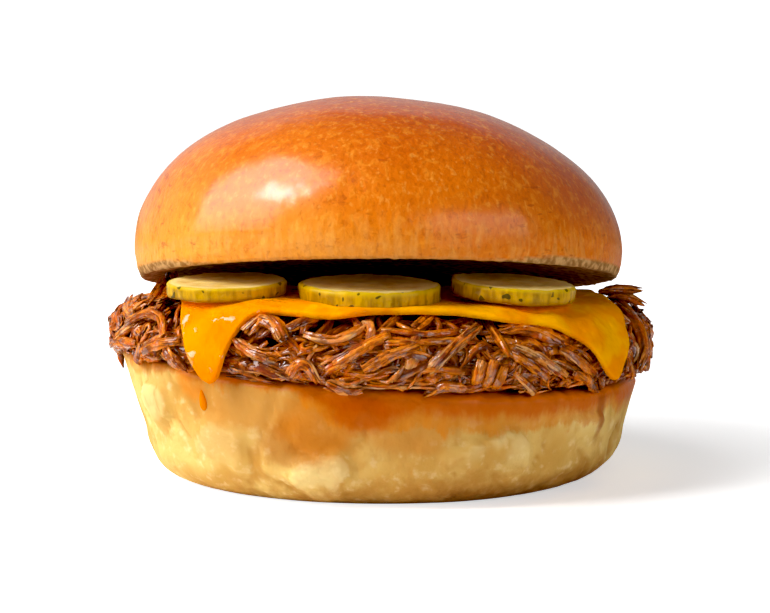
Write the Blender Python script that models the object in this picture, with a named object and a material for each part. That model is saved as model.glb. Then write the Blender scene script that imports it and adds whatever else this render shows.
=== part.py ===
"""A pulled pork sandwich, stacked from the plate up: heel, pork, cheese, pickle slices, crown.

Units are metres and +Z is up. The origin is at the middle of the footprint, on the surface
that the sandwich stands on, and the open front faces -Y.

Each solid is moulded from a UV sphere. The sphere's rings are laid along the food's own half
profile, which runs from the middle of its underside, out round its edge, to the middle of its
top. A profile is a function of the angle round the stack, so no two sides need be the same.
"""

import math

import bmesh
import bpy
from mathutils import Vector, noise

MM = 0.001

# Driving sizes of the stack
HEEL_HEIGHT = 26.0 * MM          # bottom half of the bun, at its middle
HEEL_RIM_RADIUS = 59.2 * MM      # pressed wide by the filling
HEEL_FOOT_RADIUS = 44.0 * MM     # flat face that it stands on
HEAP_RADIUS = 61.8 * MM          # pork at its widest, overhanging the heel
HEAP_TOP = 40.0 * MM             # pork under the pickles
CHEESE_THICKNESS = 1.8 * MM
CROWN_RADIUS = 55.8 * MM         # top half of the bun
CROWN_HEIGHT = 41.0 * MM
CROWN_SEAT = 43.4 * MM           # height of the crown's cut rim on the stack's axis
CROWN_TILT = math.radians(9.7)   # the pickles lift the front of the crown
GAP = 0.4 * MM                   # clearance between neighbouring solids

# How far the layers lean, as a fall to the right for each metre
HEEL_LEAN = 0.064
HEAP_LEAN = 0.030

SEGMENTS = 44                    # facets round each of the large solids


def clear_scene():
    for obj in list(bpy.data.objects):
        bpy.data.objects.remove(obj)


def finish(name, colour, roughness):
    """A Principled material for one kind of food."""
    material = bpy.data.materials.new(name)
    material.use_nodes = True
    shader = material.node_tree.nodes["Principled BSDF"]
    shader.inputs["Base Color"].default_value = (*colour, 1.0)
    shader.inputs["Roughness"].default_value = roughness
    shader.inputs["Metallic"].default_value = 0.0
    return material


def stretch(start, end, steps):
    """Evenly spaced points from start to end, leaving out start."""
    return [
        (start[0] + (end[0] - start[0]) * k / steps, start[1] + (end[1] - start[1]) * k / steps)
        for k in range(1, steps + 1)
    ]


def arc(centre, radii, start, end, steps):
    """Points of an elliptical arc between two angles in degrees, leaving out the first."""
    points = []
    for k in range(1, steps + 1):
        turn = math.radians(start + (end - start) * k / steps)
        points.append((centre[0] + radii[0] * math.cos(turn), centre[1] + radii[1] * math.sin(turn)))
    return points


def mould(name, profile, material, collection, segments=SEGMENTS):
    """A solid whose rings follow profile(angle), a list of (radius, height) from underside to top."""
    rings = len(profile(0.0)) - 1
    ball = bmesh.new()
    bmesh.ops.create_uvsphere(ball, u_segments=segments, v_segments=rings, radius=1.0)
    for vertex in ball.verts:
        angle = math.atan2(vertex.co.y, vertex.co.x)
        latitude = math.acos(max(-1.0, min(1.0, -vertex.co.z)))
        radius, height = profile(angle)[round(latitude / math.pi * rings)]
        vertex.co = (radius * math.cos(angle), radius * math.sin(angle), height)
    mesh = bpy.data.meshes.new(name)
    ball.to_mesh(mesh)
    ball.free()
    mesh.materials.append(material)
    mesh.shade_smooth()
    obj = bpy.data.objects.new(name, mesh)
    collection.objects.link(obj)
    return obj


def soft_min(first, second, blend):
    """The smaller of two heights, with the crease between them rounded over about blend."""
    lowest = min(first, second)
    return lowest - blend * math.log(
        math.exp((lowest - first) / blend) + math.exp((lowest - second) / blend)
    )


# Heel: the bottom half of the bun

HEEL_CORNER = (11.2 * MM, 9.0 * MM)    # how far the lower edge rounds outward and upward
HEEL_RIM_ROUND = 2.2 * MM
HEEL_FOOT_BULGE = 1.6 * MM             # the foot spreads to the front right
HEEL_FOOT_BULGE_ANGLE = math.radians(-75)
HEEL_DENTS = 0.7 * MM                  # shallow lobes left by neighbouring buns in the tray
HEEL_OFFSET = -0.8 * MM                # it sits a little left of the stack's axis


def heel_top(x):
    return HEEL_HEIGHT - HEEL_LEAN * x


def heel_profile(angle):
    cos_angle = math.cos(angle)
    foot = HEEL_FOOT_RADIUS + HEEL_FOOT_BULGE * math.cos(angle - HEEL_FOOT_BULGE_ANGLE)
    lobes = HEEL_DENTS * (math.sin(5 * angle + 0.6) + 0.5 * math.sin(9 * angle))
    wall_foot = foot + HEEL_CORNER[0] + lobes
    rim = HEEL_RIM_RADIUS + 0.5 * lobes
    rim_height = heel_top(rim * cos_angle)
    points = [(0.0, 0.0)]
    points += stretch((0.0, 0.0), (foot, 0.0), 2)
    points += arc((foot, HEEL_CORNER[1]), (wall_foot - foot, HEEL_CORNER[1]), -90, 0, 4)
    points += stretch(points[-1], (rim, rim_height - HEEL_RIM_ROUND), 3)
    points += arc(
        (rim - HEEL_RIM_ROUND, rim_height - HEEL_RIM_ROUND), (HEEL_RIM_ROUND, HEEL_RIM_ROUND), 0, 90, 2
    )
    inner = rim - HEEL_RIM_ROUND
    points += [(inner * share, heel_top(inner * share * cos_angle)) for share in (0.66, 0.33, 0.0)]
    return points


# Pulled pork: one heap that fills the bun and overhangs the heel

HEAP_WIDER = 1.3 * MM             # how much further it reaches to the left and right
HEAP_FOOT_RADIUS = 57.0 * MM      # where its side lifts off the heel
HEAP_SHOULDER_RADIUS = 51.5 * MM  # where its top starts to round over
HEAP_WAIST = 29.5 * MM            # height of its widest ring, where the heel is lower than that
HEAP_WAIST_RISE = 1.5 * MM        # least height of that ring above the heel
HEAP_LUMPS = 2.2 * MM             # depth of the hollows between clumps of shreds
HEAP_LUMP_SIZE = 9.0 * MM
HEAP_TO_CROWN = 3.5 * MM          # room for the cheese behind the pickles
HEAP_CREASE = 1.5 * MM


def heap_top(x, y):
    """Height of the heap: level under the pickles, then following the crown down to the back."""
    under_pickles = HEAP_TOP - HEAP_LEAN * x
    under_crown = CROWN_SEAT - math.tan(CROWN_TILT) * y - HEAP_TO_CROWN
    return soft_min(under_pickles, under_crown, HEAP_CREASE)


def heap_skin(angle, top_steps, shoulder_steps):
    """Half profile of the heap's upper skin, from its widest ring over the shoulder to the middle."""
    direction = (math.cos(angle), math.sin(angle))
    widest = HEAP_RADIUS + HEAP_WIDER * direction[0] ** 2
    shoulder_x, shoulder_y = (HEAP_SHOULDER_RADIUS * part for part in direction)
    bottom = heel_top(shoulder_x) + GAP
    top = heap_top(shoulder_x, shoulder_y)
    waist = max(HEAP_WAIST, bottom + HEAP_WAIST_RISE)
    points = [(widest, waist)]
    points += arc(
        (HEAP_SHOULDER_RADIUS, waist), (widest - HEAP_SHOULDER_RADIUS, top - waist), 0, 90, shoulder_steps
    )
    for k in reversed(range(top_steps)):
        radius = HEAP_SHOULDER_RADIUS * k / top_steps
        points.append((radius, heap_top(radius * direction[0], radius * direction[1])))
    return points


def lump(angle, radius, height):
    """Depth of the hollow at a point of the heap's skin, from 0 to HEAP_LUMPS."""
    place = Vector((radius * math.cos(angle), radius * math.sin(angle), height)) / HEAP_LUMP_SIZE
    return HEAP_LUMPS * (0.5 + 0.5 * noise.noise(place))


def pork_profile(angle):
    cos_angle = math.cos(angle)
    skin = heap_skin(angle, top_steps=5, shoulder_steps=5)
    widest, waist = skin[0]
    foot_height = heel_top(HEAP_FOOT_RADIUS * cos_angle) + GAP
    points = [(0.0, heel_top(0.0) + GAP)]
    points += [
        (HEAP_FOOT_RADIUS * share, heel_top(HEAP_FOOT_RADIUS * share * cos_angle) + GAP)
        for share in (0.33, 0.66, 1.0)
    ]
    side = arc((HEAP_FOOT_RADIUS, waist), (widest - HEAP_FOOT_RADIUS, waist - foot_height), -90, 0, 3)
    side += skin[1:-5]
    points += [(radius - lump(angle, radius, height), height) for radius, height in side]
    points += [(radius, height - lump(angle, radius, height)) for radius, height in skin[-5:-1]]
    middle = skin[-1][1]
    return points + [(0.0, middle - lump(0.0, 0.0, middle))]


# Cheese: one square slice, melted over the heap with its corners hanging

SLICE_TURN = math.radians(7.5)     # the slice is laid a little askew
SLICE_EDGES = (                    # which way each edge faces, and its distance from the axis
    (-90, 53.0 * MM),
    (0, 51.0 * MM),
    (90, 46.0 * MM),
    (180, 48.5 * MM),
)
SLICE_CORNER_POWER = 22            # higher keeps the corners sharper
SLICE_LIFT = 1.2 * MM              # clear of the heap's skin
SKIN_STEPS = 12


def slice_reach(angle):
    """Distance from the axis to the slice's edge, measured along the draped cheese."""
    total = 0.0
    for facing, distance in SLICE_EDGES:
        towards = math.cos(angle - math.radians(facing) - SLICE_TURN)
        total += (max(0.0, towards) / distance) ** SLICE_CORNER_POWER
    return total ** (-1 / SLICE_CORNER_POWER)


def drape_line(angle):
    """The path that the slice takes from the axis outward: over the heap, then straight down."""
    skin = heap_skin(angle, top_steps=SKIN_STEPS, shoulder_steps=SKIN_STEPS)[::-1]
    widest, waist = skin[-1]
    return skin + [(widest, waist - HEEL_HEIGHT)]


def walk(line, travel, lift):
    """The point at a distance along a line of (radius, height), lifted off it to the outside."""
    for start, end in zip(line, line[1:]):
        along = Vector(end) - Vector(start)
        if travel <= along.length or end == line[-1]:
            break
        travel -= along.length
    along.normalize()
    spot = Vector(start) + along * travel + Vector((-along.y, along.x)) * lift
    return (spot.x, spot.y)


def cheese_profile(angle, steps=16):
    line = drape_line(angle)
    reach = slice_reach(angle)
    travels = [reach * (k / steps) ** 0.8 for k in range(1, steps + 1)]
    middle = heap_top(0.0, 0.0) + SLICE_LIFT
    lower = [walk(line, travel, SLICE_LIFT) for travel in travels]
    edge = walk(line, reach + 0.5 * CHEESE_THICKNESS, SLICE_LIFT + 0.5 * CHEESE_THICKNESS)
    upper = [walk(line, travel, SLICE_LIFT + CHEESE_THICKNESS) for travel in reversed(travels)]
    return [(0.0, middle), *lower, edge, *upper, (0.0, middle + CHEESE_THICKNESS)]


# Pickle slices: three rounds side by side along the front edge

# Middle of the slice, radius and thickness in millimetres, then its dip forward and to the right
# in degrees
PICKLE_SLICES = {
    "pickle_slice_left": ((-33.0, -34.8, 46.1), 12.9, 3.4, 3.0, -1.0),
    "pickle_slice_middle": ((-2.4, -39.0, 45.9), 15.0, 4.4, 2.0, 1.0),
    "pickle_slice_right": ((28.2, -35.6, 44.6), 13.3, 3.5, 2.0, 4.0),
}
PICKLE_EDGE_ROUND = 0.7 * MM


def add_pickle(name, material, collection):
    middle, radius, thickness, dip, roll = PICKLE_SLICES[name]
    half = 0.5 * thickness * MM

    def profile(angle):
        edge = radius * MM * (1 + 0.02 * math.sin(3 * angle))
        core = edge - PICKLE_EDGE_ROUND
        round_radii = (PICKLE_EDGE_ROUND, PICKLE_EDGE_ROUND)
        points = [(0.0, -half), (core, -half)]
        points += arc((core, PICKLE_EDGE_ROUND - half), round_radii, -90, 0, 2)
        points += arc((core, half - PICKLE_EDGE_ROUND), round_radii, 0, 90, 2)
        return [*points, (0.0, half)]

    obj = mould(name, profile, material, collection, segments=28)
    obj.location = [size * MM for size in middle]
    obj.rotation_euler = (math.radians(dip), math.radians(roll), 0.0)
    return obj


# Crown: the glazed top half of the bun

CROWN_WIDEST = 6.0 * MM           # height of the widest ring above the cut
CROWN_RIM_TUCK = 1.6 * MM         # how far the crust draws in from there to the cut
CROWN_FULLNESS = 2.08             # power of the dome's superellipse, 2 being an ellipse
CROWN_DISH = 3.0 * MM             # the soft cut face is pressed up by the filling
CROWN_APEX_SHIFT = -3.0 * MM      # the dome is fuller on its left
CROWN_OFFSET = -0.6 * MM          # it sits a little left of the stack's axis


def crown_profile(angle):
    rim = CROWN_RADIUS - CROWN_RIM_TUCK
    points = [(0.0, CROWN_DISH)]
    for share in (0.3, 0.55, 0.75, 0.9, 1.0):
        points.append((rim * share, CROWN_DISH * (1 - share**4)))
    points.append((CROWN_RADIUS - 0.3 * CROWN_RIM_TUCK, 0.4 * CROWN_WIDEST))
    dome_steps = 13
    for k in range(dome_steps + 1):
        turn = 0.5 * math.pi * k / dome_steps
        radius = CROWN_RADIUS * math.cos(turn) ** (2 / CROWN_FULLNESS) if k < dome_steps else 0.0
        rise = (CROWN_HEIGHT - CROWN_WIDEST) * math.sin(turn) ** (2 / CROWN_FULLNESS)
        points.append((radius, CROWN_WIDEST + rise))
    return points


def add_crown(material, collection):
    obj = mould("bun_crown", crown_profile, material, collection)
    for vertex in obj.data.vertices:
        vertex.co.x += CROWN_APEX_SHIFT * max(0.0, vertex.co.z / CROWN_HEIGHT) ** 1.5
    obj.location = (CROWN_OFFSET, 0.0, CROWN_SEAT)
    obj.rotation_euler.x = -CROWN_TILT
    return obj


def build():
    clear_scene()
    collection = bpy.data.collections.new("pulled_pork_sandwich")
    bpy.context.scene.collection.children.link(collection)
    crumb = finish("heel_crust", (0.72, 0.50, 0.22), 0.75)
    pork = finish("pulled_pork", (0.30, 0.10, 0.03), 0.40)
    cheese = finish("melted_cheese", (0.90, 0.42, 0.01), 0.25)
    pickle = finish("pickle", (0.42, 0.33, 0.03), 0.30)
    crust = finish("crown_crust", (0.62, 0.23, 0.03), 0.35)
    heel = mould("bun_heel", heel_profile, crumb, collection)
    heel.location.x = HEEL_OFFSET
    mould("pulled_pork", pork_profile, pork, collection)
    mould("cheese_slice", cheese_profile, cheese, collection)
    for name in PICKLE_SLICES:
        add_pickle(name, pickle, collection)
    add_crown(crust, collection)


build()
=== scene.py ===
import math
import random

import bmesh
import bpy
import numpy as np
from mathutils import Matrix, Vector, noise
from mathutils.bvhtree import BVHTree


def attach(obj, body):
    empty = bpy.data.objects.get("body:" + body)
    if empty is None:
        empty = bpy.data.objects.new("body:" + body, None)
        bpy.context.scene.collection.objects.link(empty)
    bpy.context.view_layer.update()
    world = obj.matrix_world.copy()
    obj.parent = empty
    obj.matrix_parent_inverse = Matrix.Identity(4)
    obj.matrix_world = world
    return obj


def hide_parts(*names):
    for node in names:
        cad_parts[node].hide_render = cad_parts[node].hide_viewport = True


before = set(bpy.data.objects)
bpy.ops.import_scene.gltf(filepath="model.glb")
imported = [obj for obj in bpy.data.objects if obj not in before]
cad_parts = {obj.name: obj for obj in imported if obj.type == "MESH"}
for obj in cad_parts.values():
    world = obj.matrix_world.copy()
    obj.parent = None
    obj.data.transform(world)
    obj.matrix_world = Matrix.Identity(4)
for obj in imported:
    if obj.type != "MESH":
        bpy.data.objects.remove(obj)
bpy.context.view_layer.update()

# Heel
# The bottom half of a soft enriched bun, pale where its neighbours in the tray kept it from
# browning and tan where it met the tray. It is sliced level, and the meat's juice stains its rim.

MM = 0.001
FULL_TURN = 2 * math.pi

HEEL_HEIGHT = 26.0 * MM
HEEL_LEAN = 0.064                       # the stack leans down to the right
HEEL_RIM_RADIUS = 59.2 * MM
HEEL_RIM_ROUND = 2.2 * MM
HEEL_FOOT_RADIUS = 43.2 * MM
HEEL_CORNER = (11.8 * MM, 9.6 * MM)
HEEL_FOOT_BULGE = 2.2 * MM
HEEL_FOOT_BULGE_ANGLE = math.radians(-58)
HEEL_DENTS = 0.7 * MM
HEEL_OFFSET = -0.8 * MM
HEEL_RINGS = 112
HEEL_SEGMENTS = 288

# Where the soft skin folded over itself: angle and height of the middle, half width, half height, depth
HEEL_LAPS = (
    (-103, 6.0 * MM, 7.0 * MM, 6.0 * MM, 1.0 * MM),
    (-146, 19.5 * MM, 5.5 * MM, 5.0 * MM, 0.9 * MM),
    (-153, 26.5 * MM, 1.5 * MM, 4.0 * MM, 0.6 * MM),
    (-143, 26.5 * MM, 1.7 * MM, 3.5 * MM, 0.5 * MM),
    (-126, 11.0 * MM, 9.0 * MM, 8.0 * MM, 0.5 * MM),
    (-64, 11.0 * MM, 12.0 * MM, 5.0 * MM, 0.6 * MM),
    (-42, 14.0 * MM, 8.0 * MM, 4.0 * MM, 0.5 * MM),
    (22, 10.0 * MM, 12.0 * MM, 7.0 * MM, 0.5 * MM),
    (78, 8.0 * MM, 17.0 * MM, 6.0 * MM, 0.4 * MM),
    (140, 12.0 * MM, 14.0 * MM, 6.0 * MM, 0.4 * MM),
)


def smooth_step(low, high, value):
    share = max(0.0, min(1.0, (value - low) / (high - low)))
    return share * share * (3 - 2 * share)


def stretch(start, end, steps):
    """Evenly spaced points from start to end, leaving out start."""
    return [
        (start[0] + (end[0] - start[0]) * k / steps, start[1] + (end[1] - start[1]) * k / steps)
        for k in range(1, steps + 1)
    ]


def arc(centre, radii, start, end, steps=12):
    """Points of an elliptical arc between two angles in degrees, leaving out the first."""
    turns = [math.radians(start + (end - start) * k / steps) for k in range(1, steps + 1)]
    return [(centre[0] + radii[0] * math.cos(t), centre[1] + radii[1] * math.sin(t)) for t in turns]


def evenly(points, count):
    """The same outline with count equal steps along it."""
    outline = np.array(points)
    lengths = np.hypot(*np.diff(outline, axis=0).T)
    travelled = np.concatenate([[0.0], np.cumsum(lengths)])
    stops = np.linspace(0.0, travelled[-1], count + 1)
    return np.column_stack([np.interp(stops, travelled, outline[:, axis]) for axis in (0, 1)])


def moulded(profile, segments):
    """A closed skin: a UV sphere whose rings are laid along profile(angle), a list of
    (radius, height) from the middle of the underside, round the edge, to the middle of the top."""
    outlines = [profile(FULL_TURN * k / segments) for k in range(segments)]
    rings = len(outlines[0]) - 1
    skin = bmesh.new()
    bmesh.ops.create_uvsphere(skin, u_segments=segments, v_segments=rings, radius=1.0)
    for vertex in skin.verts:
        slot = round(math.atan2(vertex.co.y, vertex.co.x) / FULL_TURN * segments) % segments
        ring = round(math.acos(max(-1.0, min(1.0, -vertex.co.z))) / math.pi * rings)
        angle = FULL_TURN * slot / segments
        radius, height = outlines[slot][ring]
        vertex.co = (radius * math.cos(angle), radius * math.sin(angle), height)
    skin.normal_update()
    return skin


def relieved(skin, relief):
    """Moves every point of a skin along its normal by relief(point)."""
    moves = [vertex.normal * relief(vertex.co) for vertex in skin.verts]
    for vertex, move in zip(skin.verts, moves):
        vertex.co += move
    skin.normal_update()


class Wire:
    """A shader socket that takes part in sums: each sign adds the Math node that works it out."""

    def __init__(self, recipe, socket):
        self.recipe = recipe
        self.socket = socket

    def sum(self, operation, *values):
        return self.recipe.node("Math", {"operation": operation}, dict(enumerate(values)))

    def __add__(self, other):
        return self.sum("ADD", self, other)

    def __sub__(self, other):
        return self.sum("SUBTRACT", self, other)

    def __rsub__(self, other):
        return self.sum("SUBTRACT", other, self)

    def __mul__(self, other):
        return self.sum("MULTIPLY", self, other)

    def __pow__(self, other):
        return self.sum("POWER", self, other)

    __radd__ = __add__
    __rmul__ = __mul__

    def rise(self, low, high):
        """Goes smoothly from 0 at low to 1 at high."""
        ends = {"Value": self, "From Min": low, "From Max": high}
        return self.recipe.node("MapRange", {"interpolation_type": "SMOOTHSTEP"}, ends)


class Recipe:
    """The finish of one kind of food: its shader and the nodes that feed it."""

    def __init__(self, block, shader, place, constants):
        block.use_nodes = True
        self.block = block
        self.tree = block.node_tree
        self.shader = self.tree.nodes[shader]
        self.feed(**constants)
        self.place = self.node("TexCoord", {}, {}, place)

    def feed(self, **sockets):
        """Sets or links the shader's sockets, whose names are written with underscores."""
        self.plug(self.shader, {name.replace("_", " "): value for name, value in sockets.items()})

    def plug(self, node, values):
        for name, value in values.items():
            if isinstance(value, Wire):
                self.tree.links.new(value.socket, node.inputs[name])
            else:
                node.inputs[name].default_value = value

    def node(self, kind, settings, values, output=0):
        """Adds a node, with its settings first and then a value or a link for each socket."""
        node = self.tree.nodes.new("ShaderNode" + kind)
        for name, value in settings.items():
            setattr(node, name, value)
        self.plug(node, values)
        return Wire(self, node.outputs[output])

    def axis(self, name):
        return self.node("SeparateXYZ", {}, {0: self.place}, name)

    def stretched(self, factors, place=None):
        return self.node("VectorMath", {"operation": "MULTIPLY"}, {0: place or self.place, 1: factors})

    def mottle(self, size, detail=3.0, place=None, roughness=0.5, distortion=0.0):
        """Cloudy noise with blotches about size across."""
        values = {"Vector": place or self.place, "Scale": 1 / size, "Detail": detail}
        values.update({"Roughness": roughness, "Distortion": distortion})
        return self.node("TexNoise", {}, values)

    def cells(self, size, feature="F1", place=None, randomness=1.0):
        """Distance to the nearest of many scattered points about size apart."""
        values = {"Vector": place or self.place, "Scale": 1 / size, "Randomness": randomness}
        return self.node("TexVoronoi", {"feature": feature}, values)

    def blend(self, share, first, second, how="MIX"):
        settings = {"data_type": "RGBA", "blend_type": how}
        return self.node("Mix", settings, {0: share, 6: first, 7: second}, 2)

    def bump(self, height, depth, before=None, strength=1.0):
        values = {"Height": height, "Distance": depth, "Strength": strength}
        if before:
            values["Normal"] = before
        return self.node("Bump", {}, values)


def finish(name, **constants):
    """A Principled material with some sockets set."""
    return Recipe(bpy.data.materials.new(name), "Principled BSDF", "Object", constants)


def shade(red, green, blue):
    """A colour given as screen values from 0 to 255, as the linear values that shaders take."""
    parts = [value / 255 for value in (red, green, blue)]
    linear = [p / 12.92 if p <= 0.04045 else ((p + 0.055) / 1.055) ** 2.4 for p in parts]
    return (*linear, 1.0)


def served(name, mesh, recipe, slot, *nodes):
    """Puts a finished piece into the sandwich, with the solids that it stands for."""
    if isinstance(mesh, bmesh.types.BMesh):
        skin = mesh
        mesh = bpy.data.meshes.new(name)
        skin.to_mesh(mesh)
        skin.free()
    mesh.shade_smooth()
    mesh.materials.append(recipe.block)
    piece = bpy.data.objects.new(name, mesh)
    bpy.context.scene.collection.objects.link(piece)
    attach(piece, "root")
    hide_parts(*nodes)
    return piece


def heel_top(x):
    return HEEL_HEIGHT - HEEL_LEAN * x


def heel_profile(angle):
    foot = HEEL_FOOT_RADIUS + HEEL_FOOT_BULGE * math.cos(angle - HEEL_FOOT_BULGE_ANGLE)
    lobes = HEEL_DENTS * (math.sin(5 * angle + 0.6) + 0.5 * math.sin(9 * angle))
    wall_foot = foot + HEEL_CORNER[0] + lobes
    rim = HEEL_RIM_RADIUS + 0.5 * lobes
    rim_height = heel_top(rim * math.cos(angle))
    inner = rim - HEEL_RIM_ROUND
    points = [(0.0, 0.0), (foot, 0.0)]
    points += arc((foot, HEEL_CORNER[1]), (wall_foot - foot, HEEL_CORNER[1]), -90, 0)
    points += [(rim, rim_height - HEEL_RIM_ROUND)]
    points += arc((inner, rim_height - HEEL_RIM_ROUND), (HEEL_RIM_ROUND, HEEL_RIM_ROUND), 0, 90)
    points += [(inner * share, heel_top(inner * share * math.cos(angle))) for share in (0.5, 0.0)]
    return evenly(points, HEEL_RINGS)


def heel_relief(point):
    """Folds, creases and dimples of the soft side, fading out on the flat foot and the cut face."""
    radius = math.hypot(point.x, point.y)
    side = smooth_step(42 * MM, 50 * MM, radius) * smooth_step(0.0, 3 * MM, point.z)
    if side == 0.0:
        return 0.0
    depth = 0.45 * MM * noise.noise(point / (16 * MM))
    wander = 3 * MM * noise.noise(point / (9 * MM))
    creased = Vector((point.x, point.y, 0.45 * point.z + wander)) / (8.5 * MM)
    crease = abs(noise.noise(creased))
    depth -= 0.55 * MM * (1 - smooth_step(0.0, 0.13, crease))
    angle = math.atan2(point.y, point.x)
    for middle, height, half_width, half_height, lap in HEEL_LAPS:
        turn = (angle - math.radians(middle) + math.pi) % FULL_TURN - math.pi
        across = (turn * radius + 1.5 * wander) / half_width
        up = (point.z - height + 0.8 * wander) / half_height
        reach = math.hypot(across, up)
        depth += 2.1 * lap * (1 - smooth_step(0.8, 1.0, reach)) * (0.35 + 0.65 * smooth_step(-1, 0.9, up))
    depth += 0.07 * MM * noise.noise(point / (1.3 * MM))
    return side * depth


heel_skin = moulded(heel_profile, HEEL_SEGMENTS)
# The relief's depth is kept as the fold attribute. The bread's colour uses it to paint shade in the creases and a
# highlight on the raised laps.
fold_layer = heel_skin.verts.layers.float.new("fold")
for vertex in heel_skin.verts:
    vertex[fold_layer] = heel_relief(vertex.co) / MM
relieved(heel_skin, heel_relief)
for vertex in heel_skin.verts:
    vertex.co.x += HEEL_OFFSET
    vertex.co.z = max(0.0, vertex.co.z)

bread = finish("pale_bread", Subsurface_Weight=0.1, Subsurface_Scale=0.004, Specular_IOR_Level=0.05,
               Coat_Roughness=0.25)
bread_x, bread_y, bread_z = (bread.axis(name) for name in "XYZ")
side_turn = bread.node("Math", {"operation": "ARCTAN2"}, {0: bread_x, 1: 0 - bread_y}) * (180 / math.pi)
ragged = bread.mottle(5 * MM, 5.0, None, 0.6) - 0.5


def splash(middle, height, half_turn, half_height, soft=0.35):
    """A ragged patch of the heel's side: its middle is given in degrees right of the front."""
    across = (side_turn - middle) * (1 / half_turn)
    up = (bread_z - height * MM) * (1 / (half_height * MM))
    reach = (across * across + up * up) ** 0.5 + ragged * 0.9
    return 1 - reach.rise(1 - soft, 1 + soft)


def swell(middle, half_turn):
    """1 at an angle round the heel, falling to 0 at half_turn to either side of it."""
    across = (side_turn - middle) * (1 / half_turn)
    return 1 - (across * across).rise(0.0, 1.0)


cream = bread.blend(bread.mottle(14 * MM, 2.0).rise(0.35, 0.65), shade(238, 200, 116), shade(216, 166, 82))
cream = bread.blend(bread.mottle(4 * MM, 4.0).rise(0.5, 0.7) * 0.55, cream, shade(212, 156, 76))
cream = bread.blend(bread.mottle(2.5 * MM, 4.0).rise(0.53, 0.73) * 0.45, cream, shade(255, 230, 170))
fold = bread.node("Attribute", {"attribute_name": "fold"}, {}, "Fac")
# Painted shade in the creases and hollows of the relief, and a painted highlight on the raised laps.
cream = bread.blend(fold.rise(-0.1, -0.75) * 0.7, cream, shade(196, 134, 52))
cream = bread.blend(fold.rise(0.5, 1.3) * 0.5, cream, shade(255, 230, 160))
toasted = bread_z + ragged * (12 * MM) - swell(42, 42) * (4 * MM) - swell(4, 30) * (2.5 * MM) - swell(-170, 60) * (3 * MM)
cream = bread.blend(toasted.rise(4.5 * MM, -0.5 * MM) * 0.75, cream, shade(186, 128, 52))
cream = bread.blend(toasted.rise(0.5 * MM, -4.0 * MM) * 0.85, cream, shade(142, 82, 18))

pleats = bread.mottle(3.4 * MM, 3.0, bread.stretched((1.0, 1.0, 0.22)))
# Darker tan in the grooves of the pleats, where their bump is lowest: painted shade.
pleated = pleats.rise(0.48, 0.3) * side_turn.rise(-28, -46) * bread_z.rise(12 * MM, 22 * MM)
cream = bread.blend(pleated * 0.75, cream, shade(204, 146, 66))
tanned = swell(-12, 36) * bread_z.rise(7 * MM, 14 * MM)
cream = bread.blend(tanned * 0.45, cream, shade(194, 136, 62))
cream = bread.blend(swell(14, 30) * 0.2, cream, shade(176, 124, 56))
rim_depth = HEEL_HEIGHT - bread_x * HEEL_LEAN - bread_z
soaked = 0.3 + 0.7 * side_turn.rise(-52, -30) + side_turn.rise(-60, -110)
soak = swell(-4, 15) * 6.0 + swell(20, 17) * 6.0 + swell(44, 18) * 5.2 + swell(74, 18) * 5.0
soak = soak + swell(128, 30) * 4.0 + swell(-120, 30) * 5.0 + swell(170, 20) * 3.0
drawn = bread.mottle(3.0 * MM, 4.0, bread.stretched((1.0, 1.0, 0.3)), 0.65) - 0.5
soak = (soak * soaked + 2.2 + ragged * 6.0 + drawn * 7.0) * MM
stain = 1 - (rim_depth - soak).rise(-0.9 * MM, 0.9 * MM)
deep_stain = (1 - (rim_depth - soak * 0.62).rise(-1.6 * MM, 1.4 * MM)) * soaked
cream = bread.blend(splash(-27, 21.5, 14, 5.0) * 0.85, cream, shade(206, 142, 62))
cream = bread.blend(splash(-19, 14.0, 7, 5.0) * 0.6, cream, shade(178, 104, 28))
cream = bread.blend(splash(-13, 18.0, 8, 6.5) * 0.75, cream, shade(206, 122, 30))
cream = bread.blend(splash(6, 17.0, 9, 4.5) * 0.6, cream, shade(206, 136, 54))
cream = bread.blend(stain * (0.6 + 0.5 * drawn), cream, shade(216, 124, 6))
cream = bread.blend(deep_stain * 0.85, cream, shade(198, 90, 0))
cream = bread.blend(splash(-3, 21.0, 7, 4.0) * 0.8, cream, shade(188, 80, 0))
cream = bread.blend(splash(55, 18.5, 1.7, 6.5, 0.5) * 0.8, cream, shade(164, 78, 4))
cream = bread.blend(splash(-43, 25.0, 3.5, 3.0) * 0.6, cream, shade(228, 130, 14))
cream = bread.blend(splash(-62, 27.5, 6, 2.0) * 0.6, cream, shade(220, 136, 40))
wet_rim = (1 - rim_depth.rise(0.8 * MM, 2.2 * MM)) * soaked
cream = bread.blend(wet_rim * 0.8, cream, shade(234, 122, 4))
bread_bump = bread.bump(bread.mottle(1.1 * MM, 4.0), 0.15 * MM)
bread_bump = bread.bump(bread.mottle(4.5 * MM, 3.0), 0.7 * MM, bread_bump, 0.8)
bread_bump = bread.bump(pleats, 0.8 * MM, bread_bump, 0.5)
bread.feed(Base_Color=cream, Roughness=0.66 - stain * 0.2, Coat_Weight=wet_rim * 0.6, Normal=bread_bump)
heel_tree = BVHTree.FromBMesh(heel_skin)
served("heel", heel_skin, bread, "bun_bread", "bun_heel")


# Pulled pork
# Slow-cooked shoulder torn along its grain into chunks, shreds and strings, tossed in a glossy
# red-brown sauce and piled on the heel. A core of packed meat fills the middle of the heap, its
# very dark colour painted shade for the hollows between the loose shreds.

HEAP_LEAN = 0.030
HEAP_RADIUS = 61.8 * MM
HEAP_WIDER = 1.3 * MM
HEAP_FOOT_RADIUS = 57.0 * MM
HEAP_SHOULDER_RADIUS = 51.5 * MM
HEAP_WAIST = 29.5 * MM
HEAP_WAIST_RISE = 1.5 * MM
HEAP_TOP = 40.0 * MM
HEAP_CREASE = 1.5 * MM
HEAP_CLEAR = 0.4 * MM
CROWN_SEAT = 43.4 * MM
CROWN_TILT = math.radians(9.7)
HEAP_TO_CROWN = 3.5 * MM
CORE_DEPTH = 3.1 * MM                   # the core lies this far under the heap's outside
CORE_LUMPS = 1.6 * MM


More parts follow.
